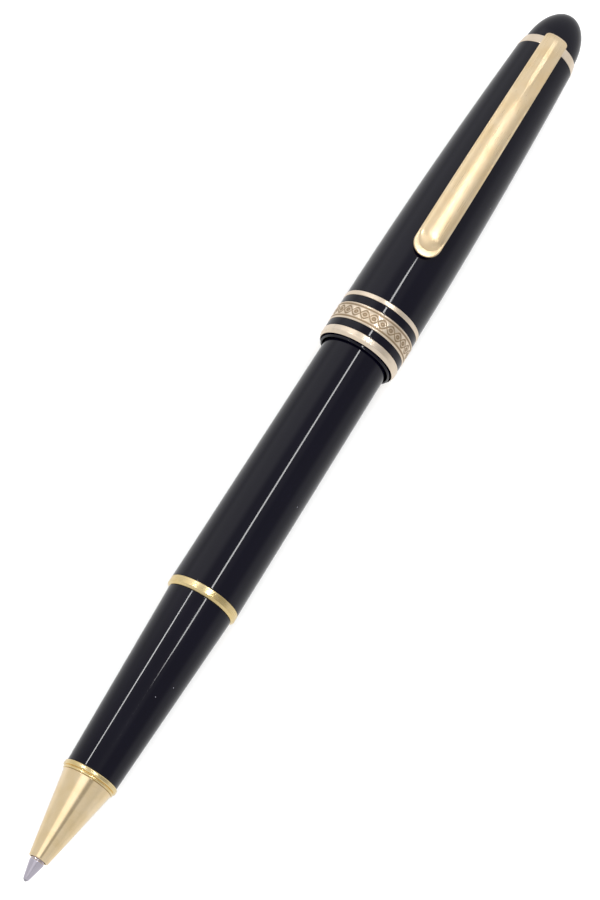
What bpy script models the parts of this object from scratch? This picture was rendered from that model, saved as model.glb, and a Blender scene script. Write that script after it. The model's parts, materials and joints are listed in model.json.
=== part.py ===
"""Rollerball pen, lying along X with its cap posted on the rear of the barrel.

The tip points to -X and the clip faces +Z. The origin is under the middle of the pen's
length, on the plane that the widest band of the cap touches. Turned pieces are half
profiles of (station, radius) pairs in millimetres. A station is measured along the axis
from the datum of the piece's own group, and every profile runs down its outer side
from the cap end to the tip end, then back along the bore.
"""
import math

import bmesh
import bpy
from mathutils import Matrix, Vector

MM = 0.001
OBJECT_NAME = "rollerball_pen"

# Driving dimensions, in millimetres
PEN_LENGTH = 154.8          # writing ball to the flat of the dome, cap posted
BAND_RADIUS = 6.24          # widest band of the cap, which the pen lies on
GAP = 0.3                   # air left between two pieces that touch
SLIP = 0.25                 # air left between two sleeves that nest

BALL_RADIUS = 0.3
TIP_RADIUS = 1.02           # straight shank of the steel tip
TIP_SHOULDER = 3.0          # end of the tip's taper
TIP_END = 7.0
REFILL_RADIUS = 3.05
REFILL_SHOULDER = 26.3      # front face of the refill's metal tube
REFILL_TUBE_END = 106.0
REFILL_LENGTH = 110.5
REFILL_WALL = 0.25

CONE_FRONT = 3.4
CONE_BACK = 15.7
CONE_FRONT_RADIUS = 1.45
CONE_BACK_RADIUS = 3.75
CONE_BORE = 1.22
SPIGOT_END = 20.5
SPIGOT_RADIUS = 2.95
SPIGOT_BORE = 2.6
NOSE_RING_BACK = 17.0
NOSE_RING_RADIUS = 4.13
GRIP_END = 45.22
GRIP_FRONT_RADIUS = 3.92
GRIP_BACK_RADIUS = 5.0
LINER_BORE = 3.35
LINER_RADIUS = 3.55

BARREL_DATUM = 45.2         # datum of the barrel's stations, from the writing ball
RING_FRONT = 0.32           # stations of the barrel ring's two faces
RING_BACK = 1.6
RING_BEVEL = 0.3
RING_RADIUS = 5.40
BARREL_FRONT_RADIUS = 5.38
BARREL_LIP_RADIUS = 5.13    # where the barrel goes into the posted cap
BARREL_LENGTH = 73.8        # ring to tail
BARREL_BORE = 3.5
THREAD_PITCH = 0.75
THREAD_CREST = 4.2          # outside of the male thread
THREAD_DEPTH = 0.22
BUSH_CREST = 4.42           # inside of the female thread
BUSH_RADIUS = 4.75
BUSH_LENGTH = 7.4

CAP_DATUM = 88.4            # lip of the posted cap, from the writing ball
CAP_RIM_FRONT = 0.35        # front of the black rim that stands out of the lip ring
CAP_MOUTH_RADIUS = 5.42
CAP_BORE = 5.3
CAP_FRONT_RADIUS = 6.14
CAP_BACK_RADIUS = 4.69
CAP_SHELL_FRONT = 8.7       # first station of the cap's black surface
CAP_SHELL_BACK = 57.6
CAP_CURVE = 1.8             # exponent of the cap's taper
CAP_SPIGOT_RADIUS = 5.72    # carries the bands and ends in the black rim of the lip
BAND_BORE = 5.97
INNER_CAP_FRONT = 31.8
INNER_CAP_WALL = 0.6
STUD_RADIUS = 1.0
STUD_HOLE = 1.3
CLIP_RING_RADIUS = 4.72     # at its front; it tapers back towards the dome
CLIP_RING_BACK_RADIUS = 4.45
DOME_BASE = 59.5
DOME_RADIUS = 4.25
DOME_FLAT = 1.0             # radius of the flat on the dome
DOME_POWER = 2.0            # roundness of the dome's profile; 2 is an ellipse

CLIP_HINGE_STATION = 58.5
CLIP_HINGE_HEIGHT = 4.9     # above the pen's axis
CLIP_TOP_STATION = 59.25

FINE = 32                   # sides of the pieces that show
COARSE = 20                 # sides of the pieces inside


def clear_scene():
    for obj in list(bpy.data.objects):
        bpy.data.objects.remove(obj, do_unlink=True)


def new_collection(name):
    collection = bpy.data.collections.new(name)
    bpy.context.scene.collection.children.link(collection)
    return collection


def finish(name, color, roughness, metallic):
    material = bpy.data.materials.new(name)
    material.use_nodes = True
    shader = material.node_tree.nodes["Principled BSDF"]
    shader.inputs["Base Color"].default_value = (*color, 1.0)
    shader.inputs["Roughness"].default_value = roughness
    shader.inputs["Metallic"].default_value = metallic
    return material


FINISHES = {
    "black_resin": ((0.012, 0.011, 0.016), 0.10, 0.0),
    "yellow_gold": ((0.70, 0.47, 0.17), 0.12, 1.0),
    "champagne_gold": ((0.80, 0.62, 0.40), 0.18, 1.0),
    "steel": ((0.62, 0.60, 0.63), 0.22, 1.0),
    "brass": ((0.72, 0.53, 0.22), 0.35, 1.0),
    "spring_steel": ((0.55, 0.56, 0.58), 0.28, 1.0),
    "grey_plastic": ((0.32, 0.33, 0.35), 0.45, 0.0),
    "ink_fibre": ((0.02, 0.03, 0.10), 0.85, 0.0),
}


class Pen:
    """The collections, materials and datums that the makers share."""

    def __init__(self):
        self.parts = new_collection(OBJECT_NAME)
        self.cutters = new_collection("cutters")
        self.axis = self.empty("pen_axis", None, (-PEN_LENGTH / 2, 0, BAND_RADIUS), (0, 90, 0))
        self.section = self.empty("section_datum", self.axis, (0, 0, 0))
        self.refill = self.empty("refill_datum", self.axis, (0, 0, 0))
        self.ball = self.empty("ball_centre", self.refill, (0, 0, BALL_RADIUS))
        self.barrel = self.empty("barrel_datum", self.axis, (0, 0, BARREL_DATUM))
        self.cap = self.empty("cap_datum", self.axis, (0, 0, CAP_DATUM))
        hinge = (-CLIP_HINGE_HEIGHT, 0, CLIP_HINGE_STATION)
        self.clip = self.empty("clip_hinge", self.cap, hinge, (0, -90, 0))

    def empty(self, name, parent, place_mm, turn_deg=(0, 0, 0)):
        obj = bpy.data.objects.new(name, None)
        obj.empty_display_size = 4 * MM
        self.parts.objects.link(obj)
        obj.parent = parent
        obj.location = Vector(place_mm) * MM
        obj.rotation_euler = [math.radians(angle) for angle in turn_deg]
        return obj

    def add(self, name, mesh, look, parent):
        obj = bpy.data.objects.new(name, mesh)
        mesh.materials.append(finish(f"{name}_{look}", *FINISHES[look]))
        self.parts.objects.link(obj)
        obj.parent = parent
        return obj

    def turned(self, name, outline, look, parent, sides=COARSE, closed=True):
        """Turn an outline about the parent's Z axis; an open one ends on the axis."""
        points = [(radius * MM, 0.0, station * MM) for station, radius in outline]
        edges = [(i, i + 1) for i in range(len(points) - 1)]
        if closed:
            edges.append((len(points) - 1, 0))
        mesh = bpy.data.meshes.new(name)
        mesh.from_pydata(points, edges, [])
        obj = self.add(name, mesh, look, parent)
        screw = obj.modifiers.new("turn", "SCREW")
        screw.axis = "Z"
        screw.angle = math.tau
        screw.steps = sides
        screw.render_steps = sides
        screw.use_merge_vertices = True
        screw.merge_threshold = 0.002 * MM
        screw.use_smooth_shade = True
        return obj


def on_line(value, start, end):
    """Height of the straight line between two (x, y) points at x = value."""
    share = (value - start[0]) / (end[0] - start[0])
    return start[1] + share * (end[1] - start[1])


def arc(station, radius, along, across, first_deg, last_deg, steps):
    """Points of an elliptical arc about (station, radius)."""
    turns = [math.radians(first_deg + (last_deg - first_deg) * i / steps)
             for i in range(steps + 1)]
    return [(station + along * math.sin(a), radius + across * math.cos(a)) for a in turns]


def thread(top, bottom, crest, depth):
    """V thread between two stations, as rings one pitch apart, top to bottom."""
    count = int((top - bottom) / THREAD_PITCH)
    points = []
    for i in range(count):
        points.append((top - i * THREAD_PITCH, crest - depth))
        points.append((top - (i + 0.5) * THREAD_PITCH, crest))
    points.append((top - count * THREAD_PITCH, crest - depth))
    return points


# Front section

def make_nose_cone(pen):
    bore_start = TIP_END + 0.4
    outline = [
        (SPIGOT_END, SPIGOT_RADIUS),
        (CONE_BACK, SPIGOT_RADIUS),
        (CONE_BACK, CONE_BACK_RADIUS),
        (CONE_FRONT + 0.15, CONE_FRONT_RADIUS),
        (CONE_FRONT, CONE_FRONT_RADIUS - 0.1),
        (CONE_FRONT, CONE_BORE),
        (bore_start, CONE_BORE),
        (bore_start + 0.6, CONE_BORE + 0.55),
        (CONE_BACK - 0.7, SPIGOT_BORE),
        (SPIGOT_END, SPIGOT_BORE),
    ]
    pen.turned("nose_cone", outline, "yellow_gold", pen.section, FINE)


def make_nose_ring(pen):
    front = CONE_BACK + 0.2
    bore = SPIGOT_RADIUS + SLIP
    outline = [
        (NOSE_RING_BACK, bore),
        (NOSE_RING_BACK, NOSE_RING_RADIUS - 0.15),
        (NOSE_RING_BACK - 0.15, NOSE_RING_RADIUS),
        (front + 0.45, NOSE_RING_RADIUS),
        (front + 0.3, NOSE_RING_RADIUS - 0.12),
        (front, NOSE_RING_RADIUS - 0.2),
        (front, bore),
    ]
    pen.turned("nose_ring", outline, "yellow_gold", pen.section, FINE)


def make_grip_section(pen):
    front = NOSE_RING_BACK + GAP
    stop_front = SPIGOT_END + GAP
    stop_back = REFILL_SHOULDER + 0.2 - GAP * 2
    outline = [
        (GRIP_END, GRIP_BACK_RADIUS - 0.12),
        (GRIP_END - 0.2, GRIP_BACK_RADIUS),
        (front + 0.1, GRIP_FRONT_RADIUS),
        (front, GRIP_FRONT_RADIUS - 0.1),
        (front, SPIGOT_RADIUS + SLIP),
        (stop_front, SPIGOT_RADIUS + SLIP),
        (stop_front, SPIGOT_BORE),
        (stop_back, SPIGOT_BORE),
        (stop_back, LINER_RADIUS + SLIP),
        (GRIP_END - 1.9, LINER_RADIUS + SLIP),
        (GRIP_END - 1.9, GRIP_BACK_RADIUS - 0.5),
        (GRIP_END, GRIP_BACK_RADIUS - 0.5),
    ]
    pen.turned("grip_section", outline, "black_resin", pen.section, FINE)


def make_section_liner(pen):
    front = REFILL_SHOULDER + 0.5
    flange_front = GRIP_END - 1.9 + GAP
    flange_back = GRIP_END + 0.1
    flange_radius = GRIP_BACK_RADIUS - 0.5 - SLIP
    nipple_end = BARREL_DATUM + 7.0
    outline = [(nipple_end, LINER_BORE), (nipple_end, THREAD_CREST - THREAD_DEPTH - 0.15)]
    outline += thread(nipple_end - 0.2, flange_back + 0.6, THREAD_CREST, THREAD_DEPTH)
    outline += [
        (flange_back, THREAD_CREST - THREAD_DEPTH),
        (flange_back, flange_radius),
        (flange_front, flange_radius),
        (flange_front, LINER_RADIUS),
        (front, LINER_RADIUS),
        (front, LINER_BORE),
    ]
    pen.turned("section_liner", outline, "brass", pen.section)


# Refill

def make_writing_ball(pen):
    mesh = bpy.data.meshes.new("writing_ball")
    ball = bmesh.new()
    bmesh.ops.create_uvsphere(ball, u_segments=16, v_segments=10, radius=BALL_RADIUS * MM)
    ball.to_mesh(mesh)
    ball.free()
    obj = pen.add("writing_ball", mesh, "steel", pen.ball)
    mesh.shade_smooth()
    return obj


def make_refill_tip(pen):
    socket = BALL_RADIUS + 0.045
    rim = BALL_RADIUS * 0.8
    outline = [
        (TIP_END, TIP_RADIUS),
        (TIP_SHOULDER + 0.2, TIP_RADIUS),
        (TIP_SHOULDER, TIP_RADIUS + 0.06),
        (rim + 0.1, socket + 0.08),
        (rim, socket + 0.03),
        (rim, socket),
        (2 * BALL_RADIUS, socket),
        (2 * BALL_RADIUS + 0.3, BALL_RADIUS / 2),
        (1.6, BALL_RADIUS / 2),
        (2.4, TIP_RADIUS / 2),
        (TIP_END, TIP_RADIUS / 2),
    ]
    pen.turned("refill_tip", outline, "steel", pen.refill)


def make_refill_nose(pen):
    front = TIP_END + GAP
    outline = [
        (REFILL_SHOULDER - GAP, 2.3),
        (19.8, 2.3),
        (19.8, 2.1),
        (17.0, 2.1),
        (16.2, 1.45),
        (front + 1.0, 1.45),
        (front, TIP_RADIUS),
        (front, 0.9),
        (REFILL_SHOULDER - GAP, 0.9),
    ]
    pen.turned("refill_nose", outline, "grey_plastic", pen.refill)


def make_ink_wick(pen):
    front = TIP_END + 2 * GAP
    back = 30.0
    outline = [(back, 0.0), (back, 0.65), (front, 0.65), (front, 0.0)]
    pen.turned("ink_wick", outline, "ink_fibre", pen.refill, 12, closed=False)


def make_refill_tube(pen):
    bore = REFILL_RADIUS - REFILL_WALL
    outline = [
        (REFILL_TUBE_END, REFILL_RADIUS),
        (REFILL_SHOULDER + 0.3, REFILL_RADIUS),
        (REFILL_SHOULDER, REFILL_RADIUS - 0.2),
        (REFILL_SHOULDER, 1.2),
        (REFILL_SHOULDER + 0.8, 1.2),
        (REFILL_SHOULDER + 0.8, bore),
        (REFILL_TUBE_END, bore),
    ]
    pen.turned("refill_tube", outline, "steel", pen.refill)


def make_ink_reservoir(pen):
    front = 30.0 + GAP
    back = REFILL_TUBE_END - 2.2
    radius = REFILL_RADIUS - REFILL_WALL - GAP
    outline = [(back, 0.0), (back, radius), (front, radius), (front, 0.0)]
    pen.turned("ink_reservoir", outline, "ink_fibre", pen.refill, 16, closed=False)


def make_refill_plug(pen):
    disc_front = REFILL_TUBE_END + GAP
    disc_back = REFILL_TUBE_END + 2.0
    inner = REFILL_RADIUS - REFILL_WALL - SLIP
    outline = [
        (REFILL_LENGTH, 0.0),
        (REFILL_LENGTH, 1.1),
        (REFILL_LENGTH - 0.2, 1.3),
        (disc_back, 1.3),
        (disc_back, REFILL_RADIUS - 0.2),
        (disc_back - 0.2, REFILL_RADIUS),
        (disc_front, REFILL_RADIUS),
        (disc_front, inner),
        (REFILL_TUBE_END - 1.8, inner),
        (REFILL_TUBE_END - 1.8, 0.0),
    ]
    pen.turned("refill_plug", outline, "grey_plastic", pen.refill, COARSE, closed=False)


def make_refill_spring(pen):
    """Coil between the refill's plug and the spring seat."""
    wire = 0.2
    radius = 2.1
    turns = 4.5
    per_turn = 14
    first = REFILL_TUBE_END + 2.0 + GAP + wire - BARREL_DATUM
    last = BARREL_LENGTH - 5.4 - GAP - wire
    curve = bpy.data.curves.new("refill_spring", "CURVE")
    curve.dimensions = "3D"
    curve.bevel_depth = wire * MM
    curve.bevel_resolution = 2
    curve.use_fill_caps = True
    spline = curve.splines.new("POLY")
    count = int(turns * per_turn) + 1
    spline.points.add(count - 1)
    for i, point in enumerate(spline.points):
        angle = math.tau * i / per_turn
        station = first + (last - first) * i / (count - 1)
        place = (radius * math.cos(angle), radius * math.sin(angle), station)
        point.co = (*(Vector(place) * MM), 1.0)
    pen.add("refill_spring", curve, "spring_steel", pen.barrel)


# Barrel

def make_barrel_ring(pen):
    bore = BUSH_CREST + 0.13
    outline = [
        (RING_BACK, bore),
        (RING_BACK, RING_RADIUS - 0.05),
        (RING_BACK - 0.1, RING_RADIUS),
        (RING_FRONT + RING_BEVEL, RING_RADIUS),
        (RING_FRONT, GRIP_BACK_RADIUS + 0.05),
        (RING_FRONT, bore),
    ]
    pen.turned("barrel_ring", outline, "yellow_gold", pen.barrel, FINE)


def make_barrel_bush(pen):
    front = RING_BACK + GAP + 0.1
    back = front + BUSH_LENGTH
    female = [(station, 2 * BUSH_CREST + THREAD_DEPTH - radius)
              for station, radius in thread(back - 0.2, front + 0.2, BUSH_CREST + THREAD_DEPTH,
                                            THREAD_DEPTH)]
    outline = [(back, BUSH_RADIUS), (front, BUSH_RADIUS), (front, BUSH_CREST + 0.2)]
    outline += list(reversed(female))
    outline += [(back, BUSH_CREST + 0.2)]
    pen.turned("barrel_bush", outline, "brass", pen.barrel)


def make_barrel_shell(pen):
    front = RING_BACK + GAP
    lip = CAP_DATUM - BARREL_DATUM + 3.4
    socket_end = front + 0.1 + BUSH_LENGTH + GAP
    tail = arc(BARREL_LENGTH - 3.6, 0.9, 3.6, 3.6, 90, 0, 6)
    outline = [(BARREL_LENGTH, 0.0)] + tail
    outline += [
        (lip + 6.0, 4.74),
        (lip + 3.0, 4.9),
        (lip, BARREL_LIP_RADIUS),
        (front + 0.15, BARREL_FRONT_RADIUS),
        (front, BARREL_FRONT_RADIUS - 0.1),
        (front, BUSH_RADIUS + SLIP),
        (socket_end, BUSH_RADIUS + SLIP),
        (socket_end, BARREL_BORE),
        (BARREL_LENGTH - 3.0, BARREL_BORE),
        (BARREL_LENGTH - 3.0, 0.0),
    ]
    pen.turned("barrel_shell", outline, "black_resin", pen.barrel, FINE, closed=False)


def make_spring_seat(pen):
    back = BARREL_LENGTH - 3.0 - GAP
    face = BARREL_LENGTH - 5.4
    radius = BARREL_BORE - GAP
    outline = [
        (back, 0.0),
        (back, radius),
        (face, radius),
        (face, 1.3),
        (face - 1.1, 1.3),
        (face - 1.3, 1.1),
        (face - 1.3, 0.0),
    ]
    pen.turned("spring_seat", outline, "grey_plastic", pen.barrel, COARSE, closed=False)


# Cap

def cap_radius(station):
    """Outside of the cap's black shell: a slow curve from the bands to the clip ring."""
    share = (station - CAP_SHELL_FRONT) / (CAP_SHELL_BACK - CAP_SHELL_FRONT)
    return CAP_FRONT_RADIUS - (CAP_FRONT_RADIUS - CAP_BACK_RADIUS) * share ** CAP_CURVE


def cap_bore(station):
    """Tapered end of the cap's bore, which holds the inner cap."""
    return on_line(station, (31.4, 4.95), (56.2, 3.9))


def make_cap_shell(pen):
    steps = 10
    span = CAP_SHELL_BACK - CAP_SHELL_FRONT
    stations = [CAP_SHELL_FRONT + span * i / steps for i in range(steps, -1, -1)]
    outline = [(station, cap_radius(station)) for station in stations]
    outline += [
        (CAP_SHELL_FRONT, CAP_SPIGOT_RADIUS),
        (CAP_RIM_FRONT + 0.25, CAP_SPIGOT_RADIUS),
        (CAP_RIM_FRONT + 0.05, CAP_SPIGOT_RADIUS - 0.1),
        (CAP_RIM_FRONT, CAP_MOUTH_RADIUS + 0.1),
        (CAP_RIM_FRONT + 0.1, CAP_MOUTH_RADIUS),
        (9.0, CAP_MOUTH_RADIUS),
        (9.2, CAP_BORE),
        (31.2, CAP_BORE),
        (31.4, cap_bore(31.4)),
        (56.2, cap_bore(56.2)),
        (56.2, STUD_HOLE),
        (CAP_SHELL_BACK, STUD_HOLE),
    ]
    pen.turned("cap_shell", outline, "black_resin", pen.cap, FINE)


def make_lip_ring(pen):
    front = 0.8
    back = 2.2
    toe = arc(back - 0.4, BAND_BORE + 0.05, front - back + 0.4, BAND_RADIUS - BAND_BORE - 0.07,
              0, 90, 6)
    outline = [(back, BAND_BORE), (back, BAND_RADIUS - 0.02)] + toe + [(front, BAND_BORE)]
    pen.turned("lip_ring", outline, "champagne_gold", pen.cap, FINE)


def make_cap_band(pen, name, front, back, radius, look):
    """One of the rings stacked on the spigot of the cap's shell."""
    edge = 0.08
    outline = [
        (back, BAND_BORE),
        (back, radius - edge),
        (back - edge, radius),
        (front + edge, radius),
        (front, radius - edge),
        (front, BAND_BORE),
    ]
    pen.turned(name, outline, look, pen.cap, FINE)


def make_clutch_ring(pen):
    """Slotted spring sleeve in the cap's bore, which grips the barrel."""
    front = 10.1
    back = 14.1
    inner = 4.88
    outer = 5.08
    slots = 6
    ring = pen.turned("clutch_ring", [(back, outer), (front, outer), (front, inner), (back, inner)],
                      "spring_steel", pen.cap)
    mesh = bpy.data.meshes.new("clutch_slots")
    cutter = bmesh.new()
    for i in range(slots):
        made = bmesh.ops.create_cube(cutter, size=1.0)["verts"]
        bmesh.ops.scale(cutter, verts=made, vec=Vector((1.2, 0.6, 2.8)) * MM)
        place = Vector(((inner + outer) / 2, 0.0, front + 1.0)) * MM
        bmesh.ops.translate(cutter, verts=made, vec=place)
        turn = Matrix.Rotation(math.tau * (i + 0.5) / slots, 3, "Z")
        bmesh.ops.rotate(cutter, verts=made, cent=(0, 0, 0), matrix=turn)
    cutter.to_mesh(mesh)
    cutter.free()
    slots_object = bpy.data.objects.new("clutch_slots", mesh)
    pen.cutters.objects.link(slots_object)
    slots_object.parent = pen.cap
    slots_object.hide_render = True
    slots_object.display_type = "WIRE"
    cut = ring.modifiers.new("slots", "BOOLEAN")
    cut.operation = "DIFFERENCE"
    cut.solver = "EXACT"
    cut.object = slots_object


def make_inner_cap(pen):
    back = 55.2
    floor = 53.2
    outline = [
        (back, cap_bore(back) - SLIP),
        (INNER_CAP_FRONT, cap_bore(INNER_CAP_FRONT) - SLIP),
        (INNER_CAP_FRONT, cap_bore(INNER_CAP_FRONT) - SLIP - INNER_CAP_WALL),
        (floor, cap_bore(floor) - SLIP - INNER_CAP_WALL),
        (floor, STUD_HOLE),
        (back, STUD_HOLE),
    ]
    pen.turned("inner_cap", outline, "grey_plastic", pen.cap)


def make_cap_stud(pen):
    head_front = 51.4
    head_back = 52.9
    end = DOME_BASE + 3.3
    outline = [
        (end, 0.0),
        (end, STUD_RADIUS - 0.2),
        (end - 0.2, STUD_RADIUS),
        (head_back, STUD_RADIUS),
        (head_back, 2.3),
        (head_front + 0.3, 2.3),
        (head_front, 2.0),
        (head_front, 0.0),
    ]
    pen.turned("cap_stud", outline, "brass", pen.cap, 16, closed=False)


def make_clip_ring(pen):
    front = CAP_SHELL_BACK + 0.25
    back = DOME_BASE - 0.3
    outline = [
        (back, STUD_HOLE),
        (back, CLIP_RING_BACK_RADIUS - 0.1),
        (back - 0.1, CLIP_RING_BACK_RADIUS),
        (front + 0.1, CLIP_RING_RADIUS),
        (front, CLIP_RING_RADIUS - 0.1),
        (front, STUD_HOLE),
    ]
    pen.turned("clip_ring", outline, "champagne_gold", pen.cap, FINE)


def make_cap_dome(pen):
    height = PEN_LENGTH - CAP_DATUM - DOME_BASE
    rim = math.acos((DOME_FLAT / DOME_RADIUS) ** (DOME_POWER / 2))
    steps = 9
    full = height / math.sin(rim) ** (2 / DOME_POWER)
    outline = [(DOME_BASE + height, 0.0)]
    for i in range(steps + 1):
        angle = rim * (1 - i / steps)
        station = DOME_BASE + full * math.sin(angle) ** (2 / DOME_POWER)
        outline.append((station, DOME_RADIUS * math.cos(angle) ** (2 / DOME_POWER)))
    outline += [
        (DOME_BASE, STUD_HOLE),
        (DOME_BASE + 3.6, STUD_HOLE),
        (DOME_BASE + 3.6, 0.0),
    ]
    pen.turned("cap_dome", outline, "black_resin", pen.cap, FINE, closed=False)


# Distance from the clip's top, underside and outer height above the pen's axis, width
CLIP_SECTIONS = [
    (0.0, 5.05, 6.45, 2.95),
    (0.4, 5.02, 6.80, 3.35),
    (1.2, 5.02, 7.00, 3.5),
    (2.4, 5.45, 7.05, 3.5),
    (7.5, 5.80, 7.10, 3.6),
    (17.5, 6.22, 7.40, 3.85),
    (27.3, 6.52, 7.65, 4.1),
    (35.2, 6.68, 7.82, 4.3),
    (37.7, 6.62, 7.85, 4.3),
    (39.0, 6.36, 7.85, 4.3),
    (40.3, 6.36, 7.82, 4.1),
    (41.4, 6.50, 7.72, 3.3),
    (42.0, 6.72, 7.52, 2.0),
    (42.2, 6.95, 7.30, 0.9),
]


def clip_section(bottom, top, width):
    """Outline of the clip across its length: a flat underside and a crowned back."""
    half = width / 2
    shoulder = bottom + (top - bottom) * 0.55
    crown = bottom + (top - bottom) * 0.93
    return [(-half, bottom), (half, bottom), (half, shoulder), (half * 0.55, crown),
            (0.0, top), (-half * 0.55, crown), (-half, shoulder)]


def make_clip(pen):
    form = bmesh.new()
    loops = []
    for distance, bottom, top, width in CLIP_SECTIONS:
        x = CLIP_TOP_STATION - distance - CLIP_HINGE_STATION
        ring = [form.verts.new(Vector((x, y, z - CLIP_HINGE_HEIGHT)) * MM)
                for y, z in clip_section(bottom, top, width)]
        loops.append(ring)
    for upper, lower in zip(loops, loops[1:]):
        for i in range(len(upper)):
            j = (i + 1) % len(upper)
            form.faces.new((upper[i], upper[j], lower[j], lower[i]))
    form.faces.new(list(reversed(loops[0])))
    form.faces.new(loops[-1])
    bmesh.ops.recalc_face_normals(form, faces=form.faces)
    mesh = bpy.data.meshes.new("clip")
    form.to_mesh(mesh)
    form.free()
    mesh.shade_smooth()
    mesh.set_sharp_from_angle(angle=math.radians(40))
    pen.add("clip", mesh, "champagne_gold", pen.clip)


def main():
    clear_scene()
    pen = Pen()
    for make in (make_nose_cone, make_nose_ring, make_grip_section, make_section_liner,
                 make_writing_ball, make_refill_tip, make_refill_nose, make_ink_wick,
                 make_refill_tube, make_ink_reservoir, make_refill_plug, make_refill_spring,
                 make_barrel_ring, make_barrel_bush, make_barrel_shell, make_spring_seat,
                 make_cap_shell, make_lip_ring, make_clutch_ring, make_inner_cap,
                 make_cap_stud, make_clip_ring, make_cap_dome, make_clip):
        make(pen)
    make_cap_band(pen, "front_spacer", 2.45, 3.25, BAND_RADIUS - 0.06, "black_resin")
    make_cap_band(pen, "centre_band", 3.5, 6.4, BAND_RADIUS, "champagne_gold")
    make_cap_band(pen, "rear_spacer", 6.65, 7.45, BAND_RADIUS - 0.08, "black_resin")
    make_cap_band(pen, "thin_ring", 7.7, 8.45, BAND_RADIUS - 0.04, "champagne_gold")


main()
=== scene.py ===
"""Looks of the rollerball pen: every piece is turned, coiled or formed again as a fine surface.

The pen lies along X with its tip towards -X. Turned pieces are half profiles made of
corners (station, radius, fillet) in millimetres. A station is measured along the axis from
the front of the writing ball. A profile runs from the cap end down its outer side to the
tip end, then back along the bore.
"""

import json
import math

import bmesh
import bpy
from mathutils import Matrix, Vector


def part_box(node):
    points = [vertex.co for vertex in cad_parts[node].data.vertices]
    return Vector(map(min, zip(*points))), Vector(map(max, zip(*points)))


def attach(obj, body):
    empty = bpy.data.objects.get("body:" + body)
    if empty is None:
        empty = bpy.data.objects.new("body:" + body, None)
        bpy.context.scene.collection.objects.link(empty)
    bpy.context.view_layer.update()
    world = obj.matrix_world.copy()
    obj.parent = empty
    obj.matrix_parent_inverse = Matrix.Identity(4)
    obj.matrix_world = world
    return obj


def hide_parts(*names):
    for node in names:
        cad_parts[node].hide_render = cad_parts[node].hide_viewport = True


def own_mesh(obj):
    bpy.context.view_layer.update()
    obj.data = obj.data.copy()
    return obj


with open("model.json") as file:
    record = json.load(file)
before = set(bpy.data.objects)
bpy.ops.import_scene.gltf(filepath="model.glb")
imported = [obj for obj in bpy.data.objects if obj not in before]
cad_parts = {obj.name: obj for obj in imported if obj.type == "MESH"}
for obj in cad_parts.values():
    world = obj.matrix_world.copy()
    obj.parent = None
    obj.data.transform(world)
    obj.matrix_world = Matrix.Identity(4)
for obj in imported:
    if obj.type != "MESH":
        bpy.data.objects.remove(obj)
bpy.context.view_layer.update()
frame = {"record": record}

MM = 0.001
record = frame["record"]
BODY_OF = {node: body for body, nodes in record["behaviour"]["bodies"].items() for node in nodes}

TIP_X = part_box("writing_ball")[0].x
BAND_LOW, BAND_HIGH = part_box("centre_band")
AXIS_Z = (BAND_LOW.z + BAND_HIGH.z) / 2
FINE_SIDES = 160            # round the large pieces that show
PLAIN_SIDES = 96            # round the small pieces and those inside
WELD = 0.0005 * MM
SHARP_DEG = 32.0
SEAM = 0.03                 # hairline left between two pieces that are pressed together
THREAD_PITCH = 0.75
WIRE_SIDES = 14
COIL_STEPS = 48             # points along one turn of a coil
FILLET_ROOM = 0.42          # most of a side that one fillet may take
FLAT_ROOM = 2.6             # a side this many times longer than its fillet gets an extra point

# The chain engraved on the centre band; its lengths along the pen are shares of its width.
BAND_WAVES = 13             # waves in one turn; two mirrored lines cross twice in each
BAND_CUT = 0.04             # depth of a line, in millimetres
BAND_LINE = 0.085           # half the width of a line, with its sloping side
BAND_LINE_FLOOR = 0.35      # the flat floor of a line, as a share of BAND_LINE
BAND_SWING = 0.24           # height of a wave
BAND_BORDER = 0.39          # border lines, from the middle
BAND_EYE = 0.075            # radius of the small ring inside each eye of the chain
BAND_EYE_STRETCH = 0.18     # counted distance from an eye's middle to the next crossing


class Span:
    """Where a CAD node lies: first and last station and greatest radius, in millimetres."""

    def __init__(self, node):
        low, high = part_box(node)
        self.front = (low.x - TIP_X) / MM
        self.back = (high.x - TIP_X) / MM
        self.radius = (high.y - low.y) / 2 / MM


class Wall:
    """The stretch of a profile between two stations and two radii, and how deep it is cut."""

    def __init__(self, front, back, inner, outer, depth):
        self.front = front
        self.back = back
        self.inner = inner
        self.outer = outer
        self.depth = depth

    def holds(self, station, radius):
        return self.front < station < self.back and self.inner <= radius <= self.outer


# Node trees

class Writer:
    """Adds nodes to a tree; an input is a plain value or another node's output."""

    def __init__(self, tree):
        self.tree = tree

    def add(self, kind, inputs=None, **settings):
        node = self.tree.nodes.new(kind)
        for name, value in settings.items():
            setattr(node, name, value)
        for key, value in (inputs or {}).items():
            if isinstance(value, bpy.types.NodeSocket):
                self.tree.links.new(value, node.inputs[key])
            else:
                node.inputs[key].default_value = value
        return node

    def math(self, operation, *values):
        return self.add("ShaderNodeMath", dict(enumerate(values)), operation=operation).outputs[0]

    def span(self, value, low, high, to_low, to_high):
        inputs = {"Value": value, "From Min": low, "From Max": high,
                  "To Min": to_low, "To Max": to_high}
        return self.add("ShaderNodeMapRange", inputs).outputs["Result"]


def geometry_tree(name, sockets):
    """A modifier tree with one geometry input and output and the named inputs given."""
    tree = bpy.data.node_groups.new(name, "GeometryNodeTree")
    tree.is_modifier = True
    face = tree.interface
    face.new_socket(name="Geometry", in_out="OUTPUT", socket_type="NodeSocketGeometry")
    face.new_socket(name="Geometry", in_out="INPUT", socket_type="NodeSocketGeometry")
    for label, kind in sockets:
        face.new_socket(name=label, in_out="INPUT", socket_type=f"NodeSocket{kind}")
    writer = Writer(tree)
    start = writer.add("NodeGroupInput")
    return tree, writer, start


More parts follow.
